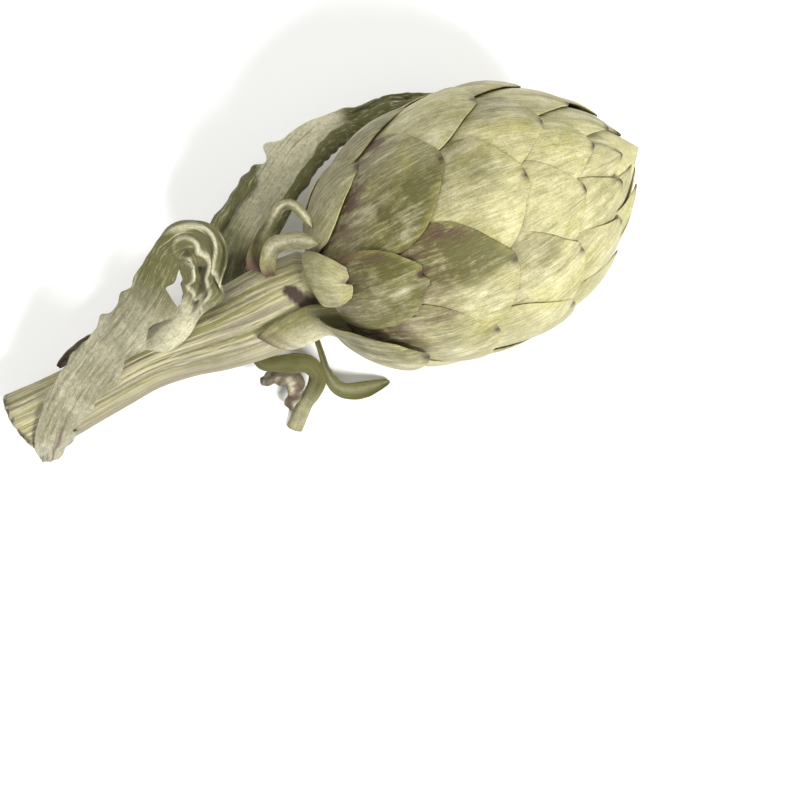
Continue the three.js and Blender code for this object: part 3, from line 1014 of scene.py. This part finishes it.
LOOP_BRACTLET = [
    (-17, 11.2, 36, 2.8, 0, 10),
    (-13.6, 16, 39.5, 2, 0, 20),
    (-7.8, 20.6, 45, 1.5, 0, 20),
    (-3, 23.6, 50, 1.4, 0, 20),
    (0.2, 22.8, 52.5, 1.3, 0, 15),
    (2.0, 18.8, 53.5, 1.2, 0, 12),
    (2.8, 14.8, 52, 0.9, 0, 10),
]

CURL_BRACTLET = [
    (-13.3, 8, 38.6, 1.8, 0, 10),
    (-12.4, 11.3, 43.5, 1.9, 0, 30),
    (-9.3, 14.2, 48.8, 2.1, 0, 50),
    (-4, 13.6, 54, 2.1, 0, 50),
    (-0.2, 11.6, 58, 1.8, 0, 35),
    (2.4, 9.8, 60, 0.9, 0, 10),
]

HANGING_LOBE = [
    (-28.6, -17.8, 9, 1.2, 0, 20),
    (-25.2, -18.2, 11, 2.2, 0, 30),
    (-21.6, -19, 11.5, 2.4, 0, 30),
    (-19.2, -22, 9, 2.2, 0, 30),
    (-21, -25, 5.6, 2.1, 0, 20),
    (-24.4, -27.6, 2.6, 1.4, 0, 10),
]

DRIED_TIP = [
    (-79.6, 8.8, 17.8, 0.9, 30, 10),
    (-74.5, 10.2, 19.6, 1.8, 30, 20),
    (-70.2, 11.4, 20.6, 2, 30, 20),
    (-66.9, 12.6, 21.2, 1.1, 30, 10),
]


# Columns and rows of the blades' grids, and how much thicker the reflexed leaf's midrib grows.
GRIDS = {
    "leaf_long_blade": (64, 150),
    "leaf_reflexed_blade": (44, 240),
    "leaf_hanging_blade": (18, 70),
    "leaf_hanging_lobe": (20, 60),
    "stem_bract_blade": (22, 34),
}
SMALL_GRID = (14, 60)
MIDRIB_SWELLING = 4.5
STEM_BRACT_THICKNESS = 1.1 * MM


def stem_top(shape, x, y):
    """Height of the top of the stem over a place counted from the neck, or None beside the stem."""
    from_neck = x / math.cos(shape.tilt)
    share = stem_share(from_neck)
    radius = spline_at(STEM_RADII, share) + 0.5
    reach = radius**2 - (y - spline_at(STEM_DRIFT, share)) ** 2
    if reach < 0:
        return None
    return shape.neck_height + from_neck * math.sin(shape.tilt) + math.sqrt(reach) / math.cos(shape.tilt)


def make_blade(name, node, material, vertex, thickness):
    sheet = Sheet(*GRIDS.get(name, SMALL_GRID))
    sheet.place(vertex)
    thicken(finish_object(name, sheet.mesh, bpy.data.materials[material], node), thickness, 0)


def leaf_material(name, leaf, head, fibres, blotches, base, deep, light=1.0):
    """A leaf: veins, green patches, a midrib, and a purple streak where it has one.

    light is how plainly the pale veins and the felt's sheen show.
    """
    build, shader, _, bands, hairs = fibrous_material(name, fibres, Width=1.4, Waver=0.2)
    patch = build.blotch(blotches, 9.0, 0.4, 0.66)
    fine = build.blotch(blotches, 1.6, 0.4, 0.7, 0.2)
    grain = build.noise(build.add("ShaderNodeTexCoord").outputs["Object"], 1400.0, 2, 0.7)
    colour = build.paint(
        base,
        (build.times(patch, 0.45), deep),
        # deep colour by the green attribute: the leaf's own green, and painted shade on the reflexed
        # leaf's inside, the long leaf's far part and the clasping bract's end
        (build.attribute("green"), deep),
        # midrib colour by the rib attribute: midribs and pale parts, and painted highlights on the
        # reflexed leaf's folds and the hanging leaf's lower end
        (build.times(build.attribute("rib"), min(1, light * 1.4)), leaf.rib),
        (build.step(bands, 0.47, 0.32, 0.6), deep),
        (build.step(bands, 0.54, 0.7, 0.4 * light), leaf.rib),
        (build.step(hairs, 0.48, 0.32, 0.45), deep),
        (build.step(hairs, 0.54, 0.68, 0.5 * light), leaf.rib),
        (build.times(fine, 0.3), deep),
        (build.step(grain, 0.52, 0.36, 0.25), deep),
        (build.attribute("stain"), head.blush),
    )
    height = build.plus(hairs, bands)
    plant_shader(build, shader, colour, 0.72, height, 0.7, 0.4, soft=0.03, sheen=0.1 * light)


class ARTICHOKE_OT_leaves(bpy.types.Operator):
    """Make the three withered leaves from grids bent about their routes"""

    bl_idname = "artichoke.leaves"
    bl_label = "Leaves"

    def execute(self, context):
        self.shape = HeadShape(context.scene.artichoke_head.tilt)
        self.thickness = context.scene.artichoke_leaf.thickness
        self.long_leaf()
        self.reflexed_leaf()
        self.hanging_leaf()
        return {"FINISHED"}

    def long_leaf(self):
        route = Route(LONG_LEAF, self.shape.neck_back)

        def vertex(across, share):
            half = route.at(share)[3]
            length = route.length_to(share)
            full = smooth(share, 0.0, 0.1)
            left = math.radians(250) * full * smooth(share, 0.34, 0.3)
            right = math.radians(270) * full
            radius = 2.2 + 0.6 * wave(length, across * 2, 3, 6)
            if across > 0:
                half += 6.0 * bump_at(share, 0.36, 0.012)
            offset, height, rolled = rolled_section(across, half, left, right, radius)
            far = smooth(share, 0.5, 0.56)
            lumps = 1.3 * wave(length, across * 6, 2, 2.4) * max(rolled, 0.7 * far)
            lumps += 0.35 * wave(offset * 1.3, length * 0.35, 1, 3) * (1 - rolled)
            point = bent_blade(route, share, offset, height + lumps)
            veins = 0.5 + 0.5 * wave(offset * 2, length * 0.3, 8, 3)
            # The rolled margins and the far part, which runs in under the head's side, are painted dark
            # green: partly the leaf's own green, partly painted shade from the head.
            attributes = {
                "green": clamp(rolled + far + 0.75 * smooth(share, 0.42, 0.1) * (0.6 + veins)),
                "rib": clamp((1 - rolled) * (1 - far) * smooth(share, 0.2, 0.42)),
                "stain": 0.0,
            }
            return point, 1.0, (offset / FIBRE_UNIT, length / FIBRE_UNIT), attributes

        make_blade("leaf_long_blade", "leaf_long", "Leaf", vertex, self.thickness)

    # Lobes of the reflexed leaf's margins: place along it, side (1 is the right), size and spread.
    REFLEXED_LOBES = [
        (0.535, 1, -1.6, 0.012),
        (0.575, 1, 4.0, 0.018),
        (0.615, 1, -1.4, 0.012),
        (0.655, 1, 1.6, 0.014),
        (0.7, 1, -1.2, 0.012),
        (0.745, 1, 2.2, 0.012),
        (0.8, 1, -0.8, 0.016),
        (0.925, 1, 5.0, 0.016),
        (0.895, 1, -1.6, 0.01),
        (0.6, -1, 1.4, 0.014),
        (0.665, -1, 2.0, 0.014),
        (0.75, -1, 1.0, 0.012),
        (0.84, -1, 0.9, 0.012),
    ]

    def reflexed_leaf(self):
        shape = self.shape
        route = Route(REFLEXED_LEAF, shape.neck_back)

        def vertex(across, share):
            length = route.length_to(share)
            half = route.at(share)[3]
            for place, side, size, spread in self.REFLEXED_LOBES:
                if across * side > 0:
                    half += size * bump_at(share, place, spread) * abs(across)
            half += 0.5 * wave(length, 40 * math.copysign(1, across), 2, 3) * smooth(share, 0.35, 0.45)
            offset = across * half
            # The inner, crumpled part is widened by up to a third and painted dark green further down:
            # painted shade of the leaf's shaded inside.
            inner = smooth(share, 0.15, 0.22) * smooth(share, 0.47, 0.4)
            offset *= 1 + 0.3 * inner
            warped = offset * 1.1 + 1.6 * wave(length, offset, 40, 6)
            fold = 0.3 - abs(wave(warped, length * 0.6 + 0.3 * offset, 4, 4.8))
            crumple = 6 * fold * inner
            crumple += 1.8 * wave(offset * 1.2, length, 14, 3.6) * inner
            pleats = abs(wave(offset * 1.6, length * 0.22, 9, 2.6)) - 0.25
            crumple += 0.8 * pleats * smooth(share, 0.42, 0.55)
            crumple += 0.7 * wave(offset * 0.5, length, 21, 6) * smooth(share, 0.5, 0.6)
            point = bent_blade(route, share, offset, crumple)
            top = stem_top(shape, point.x + shape.neck_back, point.y)
            if top is not None:
                point.z = max(point.z, top + 0.9 + 0.5 * clamp(crumple, 0, 1.5))
            point.z -= 3.2 * smooth(share, 0.09, 0)
            # bright marks the crests of the folds, painted in the midrib colour as painted highlights,
            # while the petiole keeps its own pale midrib colour; the rest of the inner part and the band
            # called shaded are painted dark green as painted shade.
            bright = smooth(fold, 0.16, 0.29)
            shaded = smooth(share, 0.38, 0.44) * smooth(share, 0.64, 0.52)
            attributes = {
                "green": clamp(1.1 * inner * (1 - bright) + shaded),
                "rib": clamp(0.7 * smooth(share, 0.24, 0.12) + 0.55 * inner * bright),
                "stain": 0.85 * bump_at(across, 0.12, 0.1) * smooth(share, 0.84, 0.9),
            }
            swollen = mix(1.0, MIDRIB_SWELLING, smooth(share, 0.2, 0.1) * smooth(abs(across), 1, 0.3))
            return point, swollen / MIDRIB_SWELLING, (offset / FIBRE_UNIT, length / FIBRE_UNIT), attributes

        thickness = self.thickness * MIDRIB_SWELLING
        make_blade("leaf_reflexed_blade", "leaf_reflexed", "Leaf", vertex, thickness)

    def hanging_leaf(self):
        route = Route(HANGING_LEAF, self.shape.neck_back)

        def vertex(across, share):
            length = route.length_to(share)
            half = route.at(share)[3] + 0.4 * wave(length, math.copysign(9, across), 2, 4)
            half *= mix(0.55, 1, smooth(share, 0, 0.12))
            offset = across * half
            uneven = 0.5 * wave(offset * 1.5, length, 6, 4) - 0.8 * smooth(abs(across), 0.4, 1)
            point = bent_blade(route, share, offset, uneven)
            attributes = {
                "green": 0.55 * smooth(share, 0.75, 0.4),
                # the midrib colour along the middle, and a painted highlight towards the lower end
                "rib": 0.2 * bump_at(across, 0, 0.2) + 1.3 * smooth(share, 0.6, 0.9),
                "stain": 0.7 * smooth(share, 0.985, 1.0),
            }
            return point, 1.0, (offset / FIBRE_UNIT, length / FIBRE_UNIT), attributes

        node, slot = "leaf_hanging", "bractlet"
        make_blade("leaf_hanging_blade", node, "Limp leaf", vertex, self.thickness * 0.7)
        lobe = Route(HANGING_LOBE, self.shape.neck_back)

        def lobe_vertex(across, share):
            length = lobe.length_to(share)
            half = lobe.at(share)[3] * (1 + 0.5 * wave(length, across * 3, 7, 2.4))
            offset = across * half
            frill = 1.6 * wave(offset * 1.5, length, 17, 2.6) * mix(0.4, 1, abs(across))
            point = bent_blade(lobe, share, offset, frill)
            attributes = {
                "green": 0.35,
                "rib": smooth(wave(offset, length, 27, 2.5), 0.0, 0.5),
                "stain": 0.5 * smooth(wave(offset, length, 37, 3), 0.0, 0.3),
            }
            return point, 1.0, (offset / FIBRE_UNIT, length / FIBRE_UNIT), attributes

        make_blade("leaf_hanging_lobe", node, "Dried", lobe_vertex, self.thickness)


class ARTICHOKE_OT_bractlets(bpy.types.Operator):
    """Make the small curled bracts at the neck and the dried leaf tip on the stem"""

    bl_idname = "artichoke.bractlets"
    bl_label = "Small bracts"

    def execute(self, context):
        shape = HeadShape(context.scene.artichoke_head.tilt)
        thickness = context.scene.artichoke_leaf.thickness * 0.8
        pieces = (
            ("bractlet_hook", HOOK_BRACTLET, "bractlet", "Limp leaf", 0.3, 0.85, 0.25),
            ("bractlet_loop", LOOP_BRACTLET, "bractlet", "Bractlet", 0.6, 1, 0.25),
            ("bractlet_curl", CURL_BRACTLET, "bractlet", "Bractlet", 0.0, 1, 0.25),
            ("dried_leaf_tip", DRIED_TIP, "dried", "Dried", 0.5, 1, 1.4),
        )
        for name, points, slot, material, *amounts in pieces:
            vertex = self.bractlet(name, Route(points, shape.neck_back), *amounts)
            make_blade(name + "_blade", name, material, vertex, thickness)
        self.clasping_bract(shape)
        return {"FINISHED"}

    def bractlet(self, name, route, green, width, crumple):
        """The function that places a small bract's vertices, by its greenness, width and crumpling."""

        def vertex(across, share):
            length = route.length_to(share)
            half = route.at(share)[3]
            half *= math.sqrt(clamp((1 - share) * 9)) * mix(0.7, 1, smooth(share, 0, 0.12))
            half *= width
            offset = across * half * (1 + 0.12 * wave(length, math.copysign(7, across), 1, 3))
            trough = 0.45 * half * abs(across) ** 1.6
            uneven = crumple * wave(offset, length, len(name), 3)
            point = bent_blade(route, share, offset, uneven + trough)
            attributes = {
                "green": clamp(green + 0.3 * wave(offset, length, 5, 4)),
                "rib": 0.9 * bump_at(across, 0.1, 0.5) * smooth(share, 0.15, 0.4),
                "stain": clamp(1.1 * smooth(share, 0.2, 0)),
            }
            return point, 1.0, (offset / FIBRE_UNIT, length / FIBRE_UNIT), attributes

        return vertex

    def clasping_bract(self, shape):
        def vertex(across, share):
            x = mix(-21.5 + 2.8 * (1 + across), 4.5, share)
            half = math.radians(34) * math.sin(math.pi * (0.2 + 0.38 * share**0.8))
            angle = math.radians(mix(46, 54, share)) + across * half
            place = stem_share(x)
            uneven = 0.3 * wave(across * 4, x, 3, 4) + 0.5 * (1 - across**2) * smooth(share, 0, 0.4)
            radius = spline_at(STEM_RADII, place) + 1.5 + uneven + 5.5 * smooth(x, -6, 4)
            drift = spline_at(STEM_DRIFT, place)
            point = Vector((x, drift - radius * math.sin(angle), radius * math.cos(angle)))
            side = 0.6 * smooth(-across, -0.3, 0.6) * smooth(share, 0.3, 0.8)
            scar = smooth(share, 0.1, 0.0) + 0.5 * bump_at(share, 0.14, 0.05) * smooth(abs(across), 1, 0.6)
            # The end that lies under bract 9 is painted dark green: painted shade of the bract above it.
            attributes = {
                "green": clamp(0.25 + side + smooth(share, 0.75, 1)),
                "rib": clamp(0.45 + 0.75 * across) * smooth(share, 0.9, 0.7),
                "stain": clamp(0.9 * scar),
            }
            return shape.to_row @ point, 1.0, (across * 0.7, x / FIBRE_UNIT), attributes

        make_blade("stem_bract_blade", "stem_bract", "Bractlet", vertex, STEM_BRACT_THICKNESS)


# ---- Stage ----


VIEW_CENTRE = (6.5, -38.4)  # millimetres, its x counted from the neck
AXIS_HEIGHT = 38  # millimetres
FLOOR_HALF = 1.5
WORLD_STRENGTH = 0.36
# Each light's name, direction from the centre of view in metres, size and power.
LIGHTS = (("Key light", (0.6, -1.55, 1.75), 0.7, 92), ("Fill light", (0.1, 0.7, 1.7), 1.2, 28))


class ARTICHOKE_OT_stage(bpy.types.Operator):
    """Lay a plain floor, set soft studio lights and place the camera above the artichoke"""

    bl_idname = "artichoke.stage"
    bl_label = "Stage"

    def execute(self, context):
        stage = context.scene.artichoke_stage
        shape = HeadShape(context.scene.artichoke_head.tilt)
        centre = Vector((VIEW_CENTRE[0] - shape.neck_back, VIEW_CENTRE[1], 0)) * MM
        self.floor(stage)
        self.camera(stage, centre)
        for name, direction, size, power in LIGHTS:
            self.light(name, centre, Vector(direction), size, power)
        world = bpy.data.worlds.new("Studio")
        world.use_nodes = True
        background = world.node_tree.nodes["Background"]
        background.inputs["Color"].default_value = (1, 1, 1, 1)
        background.inputs["Strength"].default_value = WORLD_STRENGTH
        context.scene.world = world
        context.scene.view_settings.view_transform = "Standard"
        return {"FINISHED"}

    def floor(self, stage):
        mesh = bmesh.new()
        bmesh.ops.create_grid(mesh, x_segments=1, y_segments=1, size=FLOOR_HALF)
        data = bpy.data.meshes.new("floor")
        mesh.to_mesh(data)
        mesh.free()
        material, _, shader = new_material("Floor")
        shader.inputs["Base Color"].default_value = (*stage.floor, 1)
        shader.inputs["Roughness"].default_value = 0.9
        data.materials.append(material)
        linked("floor", data)

    def camera(self, stage, centre):
        data = bpy.data.cameras.new("camera")
        camera = linked("camera", data)
        data.lens = data.sensor_width * (stage.camera_height - AXIS_HEIGHT * MM) / stage.field
        camera.location = centre + Vector((0, 0, stage.camera_height))
        camera.rotation_euler = (0, 0, stage.camera_turn)
        bpy.context.scene.camera = camera

    def light(self, name, centre, direction, size, power):
        data = bpy.data.lights.new(name, "AREA")
        data.size = size
        data.energy = power
        lamp = linked(name, data)
        lamp.location = centre + direction
        lamp.rotation_euler = direction.to_track_quat("Z", "Y").to_euler()


class ARTICHOKE_OT_materials(bpy.types.Operator):
    """Build the plant materials and the node groups that they share"""

    bl_idname = "artichoke.materials"
    bl_label = "Materials"

    def execute(self, context):
        head = context.scene.artichoke_head
        stem = context.scene.artichoke_stem
        leaf = context.scene.artichoke_leaf
        fibres, blotches = fibre_group(), blotch_group()
        bract_material(head, fibres, blotches)
        stem_material(stem, head, fibres, blotches)
        leaf_material("Leaf", leaf, head, fibres, blotches, leaf.grey, leaf.green)
        leaf_material("Limp leaf", leaf, head, fibres, blotches, leaf.olive, leaf.green, 0.2)
        leaf_material("Bractlet", leaf, head, fibres, blotches, head.grey, head.olive, 0.6)
        leaf_material("Bud", leaf, head, fibres, blotches, head.pale, head.grey)
        leaf_material("Dried", leaf, head, fibres, blotches, leaf.mauve, head.scar, 0.5)
        return {"FINISHED"}


# ---- Add-on ----

OPERATORS = (
    ARTICHOKE_OT_materials,
    ARTICHOKE_OT_bracts,
    ARTICHOKE_OT_heart,
    ARTICHOKE_OT_stem,
    ARTICHOKE_OT_leaves,
    ARTICHOKE_OT_bractlets,
    ARTICHOKE_OT_stage,
)
SETTINGS = {
    "artichoke_head": HeadSettings,
    "artichoke_stem": StemSettings,
    "artichoke_leaf": LeafSettings,
    "artichoke_stage": StageSettings,
}


class ARTICHOKE_PT_panel(bpy.types.Panel):
    """The artichoke's settings and the steps that build it"""

    bl_idname = "ARTICHOKE_PT_panel"
    bl_label = "Artichoke"
    bl_space_type = "VIEW_3D"
    bl_region_type = "UI"
    bl_category = "Artichoke"

    def draw(self, context):
        for name, group in SETTINGS.items():
            box = self.layout.box()
            for prop in group.__annotations__:
                box.prop(getattr(context.scene, name), prop)
        for operator in OPERATORS:
            self.layout.operator(operator.bl_idname)


def register():
    for cls in (*SETTINGS.values(), *OPERATORS, ARTICHOKE_PT_panel):
        bpy.utils.register_class(cls)
    for name, group in SETTINGS.items():
        setattr(bpy.types.Scene, name, PointerProperty(type=group))


def unregister():
    for name in SETTINGS:
        delattr(bpy.types.Scene, name)
    for cls in reversed((*SETTINGS.values(), *OPERATORS, ARTICHOKE_PT_panel)):
        bpy.utils.unregister_class(cls)


def main():
    register()
    for operator in OPERATORS:
        step = operator.bl_idname.split(".")[1]
        getattr(bpy.ops.artichoke, step)()


if __name__ == "__main__":
    main()
